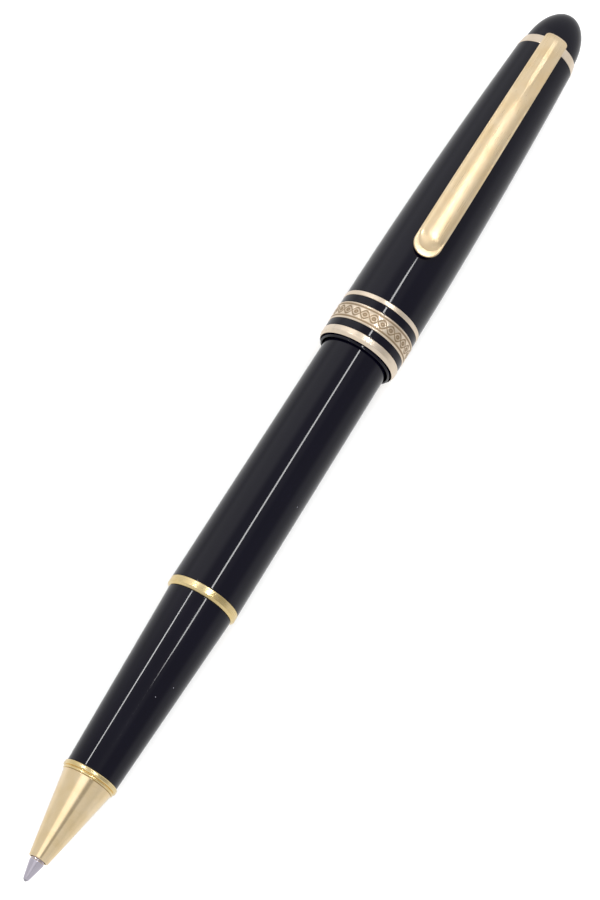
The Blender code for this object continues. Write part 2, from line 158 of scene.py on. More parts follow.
def smooth_with_sharp_edges(writer, geometry):
    smooth = writer.add("GeometryNodeSetShadeSmooth",
                        {"Geometry": geometry, "Shade Smooth": True}, domain="FACE")
    angle = writer.add("GeometryNodeInputMeshEdgeAngle").outputs["Unsigned Angle"]
    soft = writer.math("LESS_THAN", angle, math.radians(SHARP_DEG))
    return writer.add("GeometryNodeSetShadeSmooth",
                      {"Geometry": smooth.outputs[0], "Shade Smooth": soft},
                      domain="EDGE").outputs[0]


def close_tree(writer, geometry, material):
    """Every tree ends the same way: smooth real geometry that carries its material."""
    shaded = smooth_with_sharp_edges(writer, geometry)
    real = writer.add("GeometryNodeRealizeInstances", {"Geometry": shaded})
    painted = writer.add("GeometryNodeSetMaterial",
                         {"Geometry": real.outputs[0], "Material": material})
    writer.add("NodeGroupOutput", {"Geometry": painted.outputs[0]})


def chain_groove(w, given, along, angle):
    """Depth from 0 to 1 of two crossing waves, the small rings in their eyes and the borders."""
    across = w.math("DIVIDE", w.math("SUBTRACT", along, given["Band Front"]), given["Band Width"])
    phase = w.math("MULTIPLY", angle, given["Waves"])
    swing = w.math("MULTIPLY", w.math("SINE", phase), BAND_SWING)
    height = w.math("SUBTRACT", across, 0.5)
    strokes = []
    for centre in (swing, w.math("MULTIPLY", swing, -1.0)):
        strokes.append(w.math("ABSOLUTE", w.math("SUBTRACT", height, centre)))
    for border in (BAND_BORDER, -BAND_BORDER):
        strokes.append(w.math("ABSOLUTE", w.math("SUBTRACT", height, border)))
    eye_along = w.math("MULTIPLY", w.math("COSINE", phase), BAND_EYE_STRETCH)
    eye = w.math("SQRT", w.math("ADD", w.math("POWER", w.math("ABSOLUTE", eye_along), 2.0),
                                w.math("POWER", w.math("ABSOLUTE", height), 2.0)))
    strokes.append(w.math("ABSOLUTE", w.math("SUBTRACT", eye, BAND_EYE)))
    nearest = strokes[0]
    for stroke in strokes[1:]:
        nearest = w.math("MINIMUM", nearest, stroke)
    return w.span(nearest, w.math("MULTIPLY", given["Line Width"], BAND_LINE_FLOOR),
                  given["Line Width"], 1.0, 0.0)


def lathe_tree():
    """Turns the object's own vertices, a profile of (x, 0, radius), about the pen's axis.

    The vertex attribute thread_depth cuts a helical thread, and engrave_depth a running
    chain of crossing waves, whose depth is kept in the attribute patina.
    """
    sockets = [("Sides", "Int"), ("Rows", "Int"), ("Axis Height", "Float"),
               ("Pitch", "Float"), ("Waves", "Int"), ("Band Front", "Float"),
               ("Band Width", "Float"), ("Line Width", "Float"), ("Material", "Material")]
    tree, w, start = geometry_tree("lathe", sockets)
    given = start.outputs
    around = w.math("ADD", given["Sides"], 1.0)
    grid = w.add("GeometryNodeMeshGrid", {"Vertices X": given["Rows"], "Vertices Y": around})
    index = w.add("GeometryNodeInputIndex").outputs[0]
    row = w.math("FLOOR", w.math("DIVIDE", w.math("ADD", index, 0.5), around))
    count = w.add("GeometryNodeAttributeDomainSize", {"Geometry": given["Geometry"]})
    row = w.math("MODULO", row, count.outputs["Point Count"])
    turn = w.math("DIVIDE", w.math("MODULO", index, around), given["Sides"])
    angle = w.math("MULTIPLY", turn, math.tau)

    def sampled(value, data_type):
        return w.add("GeometryNodeSampleIndex",
                     {"Geometry": given["Geometry"], "Value": value, "Index": row},
                     data_type=data_type).outputs[0]

    def named(name):
        field = w.add("GeometryNodeInputNamedAttribute", {"Name": name}, data_type="FLOAT")
        return sampled(field.outputs["Attribute"], "FLOAT")

    place = sampled(w.add("GeometryNodeInputPosition").outputs[0], "FLOAT_VECTOR")
    split = w.add("ShaderNodeSeparateXYZ", {"Vector": place}).outputs
    along, radius = split["X"], split["Z"]

    helix = w.math("FRACT", w.math("ADD", w.math("DIVIDE", along, given["Pitch"]), turn))
    ridge = w.math("SUBTRACT", 1.0, w.math("ABSOLUTE",
                                           w.math("MULTIPLY_ADD", helix, 2.0, -1.0)))
    radius = w.math("MULTIPLY_ADD", named("thread_depth"), ridge, radius)

    groove = chain_groove(w, given, along, angle)
    cut = w.math("MULTIPLY", named("engrave_depth"), groove)
    radius = w.math("SUBTRACT", radius, cut)

    side = w.math("MULTIPLY", radius, w.math("SINE", angle))
    up = w.math("MULTIPLY_ADD", radius, w.math("COSINE", angle), given["Axis Height"])
    point = w.add("ShaderNodeCombineXYZ", {"X": along, "Y": side, "Z": up}).outputs[0]
    patina = w.math("DIVIDE", cut, BAND_CUT * MM)
    stored = w.add("GeometryNodeStoreNamedAttribute",
                   {"Geometry": grid.outputs["Mesh"], "Name": "patina", "Value": patina},
                   data_type="FLOAT", domain="POINT")
    moved = w.add("GeometryNodeSetPosition",
                  {"Geometry": stored.outputs[0], "Position": point}).outputs[0]
    welded = w.add("GeometryNodeMergeByDistance", {"Geometry": moved, "Distance": WELD})
    close_tree(w, welded.outputs[0], given["Material"])
    return tree


def coil_tree():
    """A wire wound along X from the given start, with its ends filled."""
    sockets = [("Turns", "Float"), ("Radius", "Float"), ("Length", "Float"),
               ("Wire", "Float"), ("Start", "Vector"), ("Material", "Material")]
    tree, w, start = geometry_tree("coil", sockets)
    given = start.outputs
    spiral = w.add("GeometryNodeCurveSpiral",
                   {"Resolution": COIL_STEPS, "Rotations": given["Turns"],
                    "Start Radius": given["Radius"], "End Radius": given["Radius"],
                    "Height": given["Length"]})
    section = w.add("GeometryNodeCurvePrimitiveCircle",
                    {"Resolution": WIRE_SIDES, "Radius": given["Wire"]}, mode="RADIUS")
    wire = w.add("GeometryNodeCurveToMesh",
                 {"Curve": spiral.outputs[0], "Profile Curve": section.outputs["Curve"],
                  "Fill Caps": True})
    placed = w.add("GeometryNodeTransform",
                   {"Geometry": wire.outputs[0], "Translation": given["Start"],
                    "Rotation": (0.0, math.pi / 2, 0.0)})
    close_tree(w, placed.outputs[0], given["Material"])
    return tree


def set_inputs(modifier, values):
    for item in modifier.node_group.interface.items_tree:
        if item.item_type == "SOCKET" and item.in_out == "INPUT" and item.name in values:
            modifier[item.identifier] = values[item.name]


def made_real(obj):
    """Swaps an object's live tree for the plain mesh that it makes, with its faces outwards."""
    bpy.context.view_layer.update()
    evaluated = obj.evaluated_get(bpy.context.evaluated_depsgraph_get())
    mesh = bpy.data.meshes.new_from_object(evaluated)
    obj.modifiers.clear()
    obj.data = mesh
    form = bmesh.new()
    form.from_mesh(mesh)
    if form.calc_volume(signed=True) < 0:
        bmesh.ops.reverse_faces(form, faces=form.faces)
        form.to_mesh(mesh)
    form.free()
    return obj


# Profiles

def filleted(corners, steps=5, support=0.05):
    """Rounds each corner that has a fillet and holds the flats beside it with extra points."""
    points = []
    count = len(corners)
    for i, (station, radius, fillet) in enumerate(corners):
        here = Vector((station, radius))
        before = Vector(corners[i - 1][:2]) - here
        after = Vector(corners[(i + 1) % count][:2]) - here
        if not fillet or before.length < 1e-6 or after.length < 1e-6:
            points.append(here)
            continue
        room = FILLET_ROOM * min(before.length, after.length)
        half = before.angle(after) / 2
        reach = min(fillet / math.tan(half), room)
        first = here + before.normalized() * reach
        last = here + after.normalized() * reach
        middle = here + (before.normalized() + after.normalized()).normalized() * (
            reach / math.cos(half))
        if before.length > FLAT_ROOM * (reach + support):
            points.append(first + before.normalized() * support)
        start = first - middle
        end = last - middle
        sweep = start.angle_signed(end)
        for step in range(steps + 1):
            turned = start.copy()
            turned.rotate(Matrix.Rotation(-sweep * step / steps, 2))
            points.append(middle + turned)
        if after.length > FLAT_ROOM * (reach + support):
            points.append(last + after.normalized() * support)
    return [(point.x, point.y) for point in points]


def plain(points):
    """Corners without fillets, for stretches that a formula already makes smooth."""
    return [(station, radius, 0) for station, radius in points]


LATHE = lathe_tree()
COIL = coil_tree()


def new_object(name, mesh):
    obj = bpy.data.objects.new(name, mesh)
    bpy.context.scene.collection.objects.link(obj)
    return obj


def turned(node, corners, material, sides=FINE_SIDES, solid=False, thread=None, engraved=None):
    """Turns a profile into a piece. A solid's profile starts and ends on the axis.

    thread and engraved are a Wall, the part of the profile that they cut.
    """
    outline = filleted(corners)
    mesh = bpy.data.meshes.new(f"turned_{node}")
    mesh.from_pydata([(TIP_X + s * MM, 0.0, max(r, 0.0) * MM) for s, r in outline], [], [])
    obj = new_object(f"turned_{node}", mesh)
    values = {"Sides": sides, "Rows": len(outline) + (0 if solid else 1), "Axis Height": AXIS_Z,
              "Pitch": MM, "Waves": 1, "Band Front": 0.0, "Band Width": 1.0, "Line Width": 1.0,
              "Material": material}
    for name, wall in (("thread_depth", thread), ("engrave_depth", engraved)):
        depths = mesh.attributes.new(name, "FLOAT", "POINT")
        for i, (station, radius) in enumerate(outline):
            if wall and wall.holds(station, radius):
                depths.data[i].value = wall.depth * MM
    if thread:
        values["Pitch"] = THREAD_PITCH * MM
    if engraved:
        values["Waves"] = BAND_WAVES
        values["Band Front"] = TIP_X + engraved.front * MM
        values["Band Width"] = (engraved.back - engraved.front) * MM
        values["Line Width"] = BAND_LINE
    modifier = obj.modifiers.new("lathe", "NODES")
    modifier.node_group = LATHE
    set_inputs(modifier, values)
    return made_real(obj)


def settle(obj, node):
    """The piece stands for its CAD node: it joins the same body, and the CAD part is hidden."""
    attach(obj, BODY_OF[node])
    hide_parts(node)
    return obj


def between(first, last, count):
    return [first + (last - first) * i / (count - 1) for i in range(count)]


def wall_rows(first, last, radius, count):
    """A straight wall with enough rows to take a thread or an engraving."""
    return plain([(station, radius) for station in between(first, last, count)])


# Finishes

def tint(w, share, first, second):
    """Mixes two colours; each is a plain colour or another node's output."""
    inputs = {0: share}
    for slot_index, color in ((6, first), (7, second)):
        inputs[slot_index] = color if isinstance(color, bpy.types.NodeSocket) else (*color, 1.0)
    return w.add("ShaderNodeMix", inputs, data_type="RGBA").outputs[2]


class Finish:
    """A material whose colour, roughness and relief are worked out on Object coordinates."""

    def __init__(self, name, **constants):
        self.material = bpy.data.materials.new(name)
        self.material.use_nodes = True
        tree = self.material.node_tree
        self.w = Writer(tree)
        self.shader = tree.nodes["Principled BSDF"]
        for label, value in constants.items():
            self.shader.inputs[label.replace("_", " ")].default_value = value
        self.place = self.w.add("ShaderNodeTexCoord").outputs["Object"]

    def noise(self, scale, stretch=(1, 1, 1), detail=2.0):
        """Soft noise from 0 to 1; a stretch below 1 draws the grain out along that axis."""
        mapped = self.w.add("ShaderNodeMapping", {"Vector": self.place, "Scale": stretch})
        return self.w.add("ShaderNodeTexNoise", {"Vector": mapped.outputs[0], "Scale": scale,
                                                 "Detail": detail}).outputs["Fac"]

    def specks(self, cells_per_metre, share, size):
        """Single small spots: 1 inside a spot, in the given share of the cells."""
        cells = self.w.add("ShaderNodeTexVoronoi",
                           {"Vector": self.place, "Scale": cells_per_metre})
        parts = self.w.add("ShaderNodeSeparateColor", {"Color": cells.outputs["Color"]})
        picked = self.w.math("GREATER_THAN", parts.outputs[0], 1.0 - share)
        near = self.w.span(cells.outputs["Distance"], size * 0.6, size, 1.0, 0.0)
        return self.w.math("MULTIPLY", picked, near)

    def color(self, value):
        self.w.tree.links.new(value, self.shader.inputs["Base Color"])

    def roughness(self, value):
        self.w.tree.links.new(value, self.shader.inputs["Roughness"])

    def relief(self, height, strength, depth_mm):
        bump = self.w.add("ShaderNodeBump", {"Height": height, "Strength": strength,
                                             "Distance": depth_mm * MM})
        self.w.tree.links.new(bump.outputs[0], self.shader.inputs["Normal"])


ROUND = (1.0, 0.012, 0.012)         # grain that runs round the pen, as a lathe leaves it
LENGTHWISE = (0.015, 1.0, 1.0)      # grain that runs along the pen, as hand polishing leaves it


def black_resin():
    """Deep black polished resin: handling haze, hairline marks and a little dust."""
    f = Finish("black_resin", Metallic=0.0, IOR=1.38)
    cloud = f.noise(160.0, detail=3.0)
    dust = f.specks(760.0, 0.05, 0.07)
    body = tint(f.w, cloud, (0.0010, 0.0008, 0.0038), (0.0017, 0.0014, 0.0056))
    f.color(tint(f.w, dust, body, (0.22, 0.22, 0.25)))
    haze = f.w.span(cloud, 0.35, 0.7, 0.035, 0.075)
    f.roughness(f.w.math("MULTIPLY_ADD", dust, 0.4, haze))
    f.relief(f.noise(5200.0, LENGTHWISE), 0.05, 0.002)
    return f.material


def plated_gold(name, pale, deep, grain, polish, worn=0.0):
    """Polished plating: clouded colour, grain from finishing and darker engraved lines."""
    f = Finish(name, Metallic=1.0)
    cloud = f.w.span(f.noise(420.0, detail=4.0), 0.32, 0.68, 0.0, 1.0)
    grain_height = f.noise(7000.0, grain, 3.0)
    rubbed = f.w.span(f.noise(1500.0, detail=5.0), 0.56, 0.74, 0.0, worn)
    patina = f.w.add("ShaderNodeAttribute", attribute_name="patina").outputs["Fac"]
    patina = f.w.span(patina, 0.05, 1.0, 0.0, 0.82)
    metal = tint(f.w, cloud, deep, pale)
    metal = tint(f.w, rubbed, metal, (0.78, 0.70, 0.58))
    f.color(tint(f.w, patina, metal, (0.30, 0.19, 0.09)))
    satin = f.w.span(grain_height, 0.3, 0.7, *polish)
    satin = f.w.math("MULTIPLY_ADD", rubbed, 0.12, satin)
    f.roughness(f.w.math("MULTIPLY_ADD", patina, 0.2, satin))
    f.relief(grain_height, 0.10, 0.0022)
    return f.material


def bare_metal(name, pale, deep, grain, smooth, rough, scale=6000.0, mark_depth=0.006):
    """Turned or drawn metal with its tool marks."""
    f = Finish(name, Metallic=1.0)
    marks = f.noise(scale, grain, 3.0)
    cloud = f.noise(700.0, detail=3.0)
    f.color(tint(f.w, cloud, deep, pale))
    f.roughness(f.w.span(marks, 0.3, 0.7, smooth, rough))
    f.relief(marks, 0.25, mark_depth)
    return f.material


def moulded_plastic():
    f = Finish("moulded_plastic", Metallic=0.0, IOR=1.5)
    spark = f.noise(2600.0, detail=4.0)
    f.color(tint(f.w, f.noise(240.0), (0.27, 0.28, 0.30), (0.34, 0.35, 0.37)))
    f.roughness(f.w.span(spark, 0.3, 0.7, 0.38, 0.55))
    f.relief(spark, 0.3, 0.01)
    return f.material


def inked_fibre():
    """Bonded fibre drawn out along the refill and soaked with blue-black ink."""
    f = Finish("inked_fibre", Metallic=0.0, IOR=1.45)
    threads = f.noise(5200.0, (0.04, 1.0, 1.0), 4.0)
    f.color(tint(f.w, threads, (0.004, 0.006, 0.03), (0.03, 0.045, 0.14)))
    f.roughness(f.w.span(threads, 0.3, 0.7, 0.6, 0.95))
    f.relief(threads, 0.7, 0.03)
    return f.material


RESIN = black_resin()
CONE_GOLD = plated_gold("cone_gold", (1.0, 0.81, 0.54), (0.94, 0.73, 0.43), ROUND, (0.12, 0.20))
RING_GOLD = plated_gold("ring_gold", (0.95, 0.77, 0.43), (0.86, 0.66, 0.30), ROUND,
                        (0.22, 0.32), 0.2)
BAND_GOLD = plated_gold("band_gold", (1.0, 0.86, 0.70), (0.92, 0.77, 0.59), ROUND,
                        (0.28, 0.40), 0.6)
CLIP_GOLD = plated_gold("clip_gold", (0.98, 0.79, 0.53), (0.93, 0.71, 0.42), LENGTHWISE,
                        (0.26, 0.38), 0.15)
TIP_STEEL = bare_metal("tip_steel", (0.70, 0.66, 0.74), (0.56, 0.52, 0.61), ROUND, 0.12, 0.24,
                       mark_depth=0.0015)
BALL_CARBIDE = bare_metal("ball_carbide", (0.56, 0.55, 0.60), (0.42, 0.41, 0.46),
                          (1, 1, 1), 0.15, 0.3, 9000.0)
TUBE_METAL = bare_metal("tube_metal", (0.72, 0.72, 0.74), (0.60, 0.60, 0.62),
                        LENGTHWISE, 0.2, 0.36, mark_depth=0.0002)
SPRING_STEEL = bare_metal("spring_steel", (0.62, 0.63, 0.65), (0.48, 0.49, 0.51),
                          (1, 1, 1), 0.22, 0.4)
BRASS = bare_metal("brass", (0.80, 0.60, 0.27), (0.66, 0.46, 0.18), ROUND, 0.24, 0.42)
PLASTIC = moulded_plastic()
FIBRE = inked_fibre()


# Front section

def make_nose_cone():
    """Straight gold cone with a rolled front edge and a spigot into the grip."""
    span = Span("nose_cone")
    shoulder = Span("nose_ring").front - SEAM
    return turned("nose_cone", [
        (span.back, 2.95, 0.1),
        (shoulder, 2.95, 0),
        (shoulder, span.radius, 0.05),
        (span.front, 1.45, 0.16),
        (span.front, 1.22, 0.06),
        (7.4, 1.22, 0.1),
        (8.0, 1.77, 0.1),
        (15.0, 2.6, 0.3),
        (span.back, 2.6, 0.1),
    ], CONE_GOLD)


def make_nose_ring():
    """Stepped ring: a narrow bead, a fine groove and a broad rounded rim."""
    span = Span("nose_ring")
    bore = 3.2
    bead = span.radius - 0.22
    groove = span.front + 0.36
    return turned("nose_ring", [
        (span.back, bore, 0),
        (span.back, span.radius, 0.2),
        (groove + 0.08, span.radius, 0.14),
        (groove + 0.04, bead - 0.12, 0.03),
        (groove - 0.04, bead - 0.12, 0.03),
        (groove - 0.07, bead, 0.09),
        (span.front, bead, 0.14),
        (span.front, bore, 0),
    ], RING_GOLD)


def make_grip_section():
    """Tapered black grip that closes up to both of its rings."""
    span = Span("grip_section")
    front = Span("nose_ring").back + SEAM
    back = Span("barrel_ring").front - 2 * SEAM
    return turned("grip_section", [
        (back, span.radius, 0.07),
        (front, 3.92, 0.08),
        (front, 3.2, 0.05),
        (20.8, 3.2, 0.05),
        (20.8, 2.6, 0.08),
        (25.9, 2.6, 0.08),
        (25.9, 3.8, 0.05),
        (43.3, 3.8, 0.05),
        (43.3, 4.5, 0.05),
        (back, 4.5, 0.05),
    ], RESIN)


def make_section_liner():
    """Brass liner whose nipple has the male thread for the barrel."""
    span = Span("section_liner")
    crest, depth, relief = 4.2, 0.22, 0.6
    root = crest - depth
    flange_back = 45.3
    top = span.back - 0.2
    bottom = flange_back + relief
    thread = Wall(bottom + 0.02, top - 0.02, root - 0.01, root + 0.01, depth)
    corners = [(span.back, 3.35, 0.08), (span.back, root - 0.15, 0.08)]
    corners += wall_rows(top, bottom, root, 112)
    corners += [
        (flange_back, root, 0.05),
        (flange_back, 4.25, 0.06),
        (43.6, 4.25, 0.06),
        (43.6, 3.55, 0.1),
        (span.front, 3.55, 0.15),
        (span.front, 3.35, 0.05),
    ]
    return turned("section_liner", corners, BRASS, PLAIN_SIDES, thread=thread)


# Refill

def make_writing_ball():
    span = Span("writing_ball")
    radius = (span.back - span.front) / 2
    turns = [math.radians(angle) for angle in between(0, 180, 29)]
    outline = [(radius * (1 + math.cos(turn)), radius * math.sin(turn)) for turn in turns]
    return turned("writing_ball", plain(outline), BALL_CARBIDE, 56, solid=True)


def make_refill_tip():
    """Turned steel point: a long taper, a spun-in lip round the ball and a straight shank."""
    span = Span("refill_tip")
    socket = 0.345
    return turned("refill_tip", [
        (span.back, 1.02, 0.1),
        (3.2, 1.02, 0.05),
        (3.0, 1.08, 0.08),
        (0.52, socket + 0.13, 0.12),
        (span.front, socket + 0.03, 0.03),
        (span.front, socket, 0),
        (0.6, socket, 0.02),
        (0.9, 0.15, 0.03),
        (1.6, 0.15, 0.05),
        (2.4, 0.51, 0.05),
        (span.back, 0.51, 0.05),
    ], TIP_STEEL, PLAIN_SIDES)


def make_refill_nose():
    span = Span("refill_nose")
    return turned("refill_nose", [
        (span.back, 2.3, 0.1),
        (19.8, 2.3, 0.1),
        (19.8, 2.1, 0.05),
        (17.0, 2.1, 0.3),
        (16.2, 1.45, 0.3),
        (8.3, 1.45, 0.4),
        (span.front, 1.02, 0.08),
        (span.front, 0.9, 0.03),
        (span.back, 0.9, 0.08),
    ], PLASTIC, PLAIN_SIDES)


def rod(node, material, fillet, sides):
    """A plain round core with eased ends."""
    span = Span(node)
    return turned(node, [
        (span.back, 0.0, 0),
        (span.back, span.radius, fillet),
        (span.front, span.radius, fillet),
        (span.front, 0.0, 0),
    ], material, sides, solid=True)


def make_refill_tube():
    """Drawn tube, necked in at the front and with one rolled crimp over its end plug."""
    span = Span("refill_tube")
    bore = span.radius - 0.25
    crimp = span.back - 1.0
    return turned("refill_tube", [
        (span.back, span.radius, 0.06),
        (crimp + 0.3, span.radius, 0.15),
        (crimp, span.radius - 0.1, 0.15),
        (crimp - 0.3, span.radius, 0.15),
        (span.front, span.radius, 0.35),
        (span.front, 1.2, 0.05),
        (span.front + 0.8, 1.2, 0.05),
        (span.front + 0.8, bore, 0.2),
        (span.back, bore, 0.03),
    ], TUBE_METAL, PLAIN_SIDES)


def make_refill_plug():
    span = Span("refill_plug")
    tube_end = Span("refill_tube").back
    disc_back = tube_end + 2.0
    return turned("refill_plug", [
        (span.back, 0.0, 0),
        (span.back, 1.3, 0.3),
        (disc_back, 1.3, 0.12),
        (disc_back, span.radius, 0.25),
        (tube_end + 0.3, span.radius, 0.1),
        (tube_end + 0.3, 2.55, 0.05),
        (span.front, 2.55, 0.2),
        (span.front, 0.0, 0),
    ], PLASTIC, PLAIN_SIDES, solid=True)


def make_refill_spring():
    """Coil of wire wound to fill the spring's CAD box."""
    low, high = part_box("refill_spring")
    wire = 0.2 * MM
    turns = 4.5
    obj = new_object("wound_refill_spring", bpy.data.meshes.new("wound_refill_spring"))
    modifier = obj.modifiers.new("coil", "NODES")
    modifier.node_group = COIL
    set_inputs(modifier, {
        "Turns": turns,
        "Radius": (high.y - low.y) / 2 - wire,
        "Length": high.x - low.x - 2 * wire,
        "Wire": wire,
        "Start": (low.x + wire, 0.0, AXIS_Z),
        "Material": SPRING_STEEL,
    })
    return made_real(obj)


# Barrel

def make_barrel_ring():
    """Gold ring with a pale bevel towards the tip."""
    span = Span("barrel_ring")
    bore, bevel, face_radius = 4.55, 0.30, 5.02
    return turned("barrel_ring", [
        (span.back, bore, 0),
        (span.back, span.radius, 0.08),
        (span.front + bevel, span.radius, 0.05),
        (span.front, face_radius, 0.05),
        (span.front, bore, 0),
    ], RING_GOLD)


def make_barrel_bush():
    """Brass bush with the female thread, in step with the male one."""
    span = Span("barrel_bush")
    crest, depth = 4.42, 0.22
    top = span.back - 0.3
    bottom = span.front + 0.3
    thread = Wall(bottom + 0.02, top - 0.02, crest - 0.01, crest + 0.01, depth)
    corners = [
        (span.back, crest + 0.2, 0),
        (span.back, span.radius, 0.08),
        (span.front, span.radius, 0.08),
        (span.front, crest + 0.2, 0),
    ]
    corners += wall_rows(bottom, top, crest, 112)
    return turned("barrel_bush", corners, BRASS, PLAIN_SIDES, thread=thread)


def make_barrel_shell():
    """Long black barrel: a slight taper, a step down inside the cap and a round tail."""
    span = Span("barrel_shell")
    front = Span("barrel_ring").back + SEAM
    lip = Span("centre_band").front - 0.1
    round_off, end_flat = 3.6, 0.9
    tail = span.back - round_off
    rounding = [math.radians(angle) for angle in between(0, 90, 12)]
    corners = [(span.back, 0.0, 0)]
    corners += plain([(tail + round_off * math.cos(a), end_flat + round_off * math.sin(a))
                      for a in rounding])
    corners += [
        (lip + 6.0, 4.74, 1.5),
        (lip + 3.0, 4.9, 1.5),
        (lip, 5.13, 2.0),
        (front, 5.38, 0.06),
        (front, 5.0, 0.03),
        (54.8, 5.0, 0.05),
        (54.8, 3.5, 0.1),
        (span.back - 3.0, 3.5, 0.2),
        (span.back - 3.0, 0.0, 0),
    ]
    return turned("barrel_shell", corners, RESIN, solid=True)


def make_spring_seat():
    span = Span("spring_seat")
    face = span.front + 1.3
    return turned("spring_seat", [
        (span.back, 0.0, 0),
        (span.back, span.radius, 0.15),
        (face, span.radius, 0.15),
        (face, 1.3, 0.12),
        (span.front, 1.3, 0.3),
        (span.front, 0.0, 0),
    ], PLASTIC, PLAIN_SIDES, solid=True)


# Cap

def shell_radius(share):
    """Outside of the black shell, from the bands (0) to the clip ring (1)."""
    widest, narrowest, curve = 6.14, 4.69, 1.8
    return widest - (widest - narrowest) * share ** curve


def make_cap_shell():
    """Black shell that swells slowly to the bands, with the spigot that carries them."""
    span = Span("cap_shell")
    front = Span("thin_ring").back + SEAM
    back = Span("clip_ring").front - SEAM
    inner_cap = Span("inner_cap")
    spigot, mouth, bore = 5.72, 5.42, 5.3
    corners = plain([(front + (back - front) * share, shell_radius(share))
                     for share in between(1.0, 0.0, 40)])
    corners += [
        (front, spigot, 0.02),
        (span.front, spigot, 0.14),
        (span.front, mouth, 0.12),
        (front + 0.3, mouth, 0.1),
        (front + 0.5, bore, 0.1),
        (inner_cap.front - 0.6, bore, 0.2),
        (inner_cap.front - 0.4, inner_cap.radius + 0.27, 0.1),
        (inner_cap.back + 1.0, 3.9, 0.2),
        (inner_cap.back + 1.0, 1.3, 0.05),
        (back, 1.3, 0.05),
    ]
    return turned("cap_shell", corners, RESIN)


def make_lip_ring():
    """Rounded gold lip that rolls in to the black rim of the mouth."""
    span = Span("lip_ring")
    bore = 5.97
    return turned("lip_ring", [
        (span.back, bore, 0),
        (span.back, span.radius, 0.1),
        (span.front + 0.52, span.radius, 0.45),
        (span.front + 0.08, bore + 0.04, 0.08),
        (span.front, bore, 0),
    ], BAND_GOLD)


def cap_band(node, material, front, back):
    """One of the rings stacked on the spigot, with eased edges."""
    span = Span(node)
    bore = 5.8
    return turned(node, [
        (back, bore, 0),
        (back, span.radius, 0.09),
        (front, span.radius, 0.09),
        (front, bore, 0),
    ], material)


def spacer(node, ahead, behind):
    """Black ring that fills the gap between two gold ones."""
    return cap_band(node, RESIN, Span(ahead).back + SEAM, Span(behind).front - SEAM)


def make_thin_ring():
    span = Span("thin_ring")
    return cap_band("thin_ring", BAND_GOLD, span.front, span.back)


def make_centre_band():
    """Wide gold band, engraved with a chain of crossing waves between two border lines."""
    span = Span("centre_band")
    bore = 5.8
    border = 0.12
    first, last = span.front + border, span.back - border
    engraving = Wall(first, last, span.radius - 0.01, span.radius + 0.01, BAND_CUT)
    corners = [(span.back, bore, 0), (span.back, span.radius - 0.08, 0)]
    corners += wall_rows(last, first, span.radius, 66)
    corners += [(span.front, span.radius - 0.08, 0), (span.front, bore, 0)]
    return turned("centre_band", corners, BAND_GOLD, 864, engraved=engraving)


def make_clutch_ring():
    """Slotted spring sleeve; its six fingers bow inwards to grip the barrel."""
    span = Span("clutch_ring")
    slots, slot_width, slot_length = 6, 0.6, 2.4
    inner, wall, bow = 4.88, 0.2, 0.06
    columns, rows = 192, 20
    width = span.back - span.front
    form = bmesh.new()
    grid = []
    for row in range(rows + 1):
        station = span.front + width * row / rows
        finger = max(0.0, 1.0 - row / rows / 0.6)
        radius = inner - bow * math.sin(math.pi * min(finger, 1.0))
        ring = []
        for column in range(columns):
            angle = math.tau * column / columns
            ring.append(form.verts.new((TIP_X + station * MM, radius * MM * math.sin(angle),
                                        AXIS_Z + radius * MM * math.cos(angle))))
        grid.append(ring)
    half_slot = slot_width / inner / 2
    for row in range(rows):
        cut_row = (row + 1) / rows * width <= slot_length
        for column in range(columns):
            middle = math.tau * (column + 0.5) / columns
            from_slot = abs((middle * slots / math.tau) % 1.0 - 0.5) * math.tau / slots
            if cut_row and from_slot < half_slot:
                continue
            following = (column + 1) % columns
            form.faces.new((grid[row][column], grid[row][following],
                            grid[row + 1][following], grid[row + 1][column]))
    loose = [vertex for vertex in form.verts if not vertex.link_faces]
    bmesh.ops.delete(form, geom=loose, context="VERTS")
    bmesh.ops.recalc_face_normals(form, faces=form.faces)
    mesh = bpy.data.meshes.new("slotted_clutch_ring")
    form.to_mesh(mesh)
    form.free()
    mesh.materials.append(SPRING_STEEL)
    obj = new_object("slotted_clutch_ring", mesh)
    thick = obj.modifiers.new("wall", "SOLIDIFY")
    thick.thickness = wall * MM
    thick.offset = outward_offset(mesh)
    return smooth_mesh(made_real(obj), 35)


def outward_offset(mesh):
    """Sign that makes a wall grow away from the pen's axis."""
    face = mesh.polygons[0]
    away = Vector((0.0, face.center.y, face.center.z - AXIS_Z))
    return 1.0 if face.normal.dot(away) > 0 else -1.0


def smooth_mesh(obj, sharp_deg):
    obj.data.shade_smooth()
    obj.data.set_sharp_from_angle(angle=math.radians(sharp_deg))
    return obj


def make_inner_cap():
    span = Span("inner_cap")
    wall, stud_hole, mouth = 0.6, 1.3, span.radius
    tail = 3.69
    floor = span.back - 2.0
    return turned("inner_cap", [
        (span.back, tail, 0.2),
        (span.front, mouth, 0.15),
        (span.front, mouth - wall, 0.1),
        (floor, tail - wall + 0.08, 0.2),
        (floor, stud_hole, 0.1),
        (span.back, stud_hole, 0.1),
    ], PLASTIC, PLAIN_SIDES)


def make_cap_stud():
    """Brass stud with a cheese head inside the inner cap."""
    span = Span("cap_stud")
    head_back = span.front + 1.5
    return turned("cap_stud", [
        (span.back, 0.0, 0),
        (span.back, 1.0, 0.25),
        (head_back, 1.0, 0.08),
        (head_back, span.radius, 0.1),
        (span.front, span.radius, 0.35),
        (span.front, 0.0, 0),
    ], BRASS, PLAIN_SIDES, solid=True)


def make_clip_ring():
    span = Span("clip_ring")
    bore, taper = 1.3, 0.27
    back = Span("cap_dome").front - SEAM
    return turned("clip_ring", [
        (back, bore, 0.05),
        (back, span.radius - taper, 0.1),
        (span.front, span.radius, 0.1),
        (span.front, bore, 0.05),
    ], BAND_GOLD)


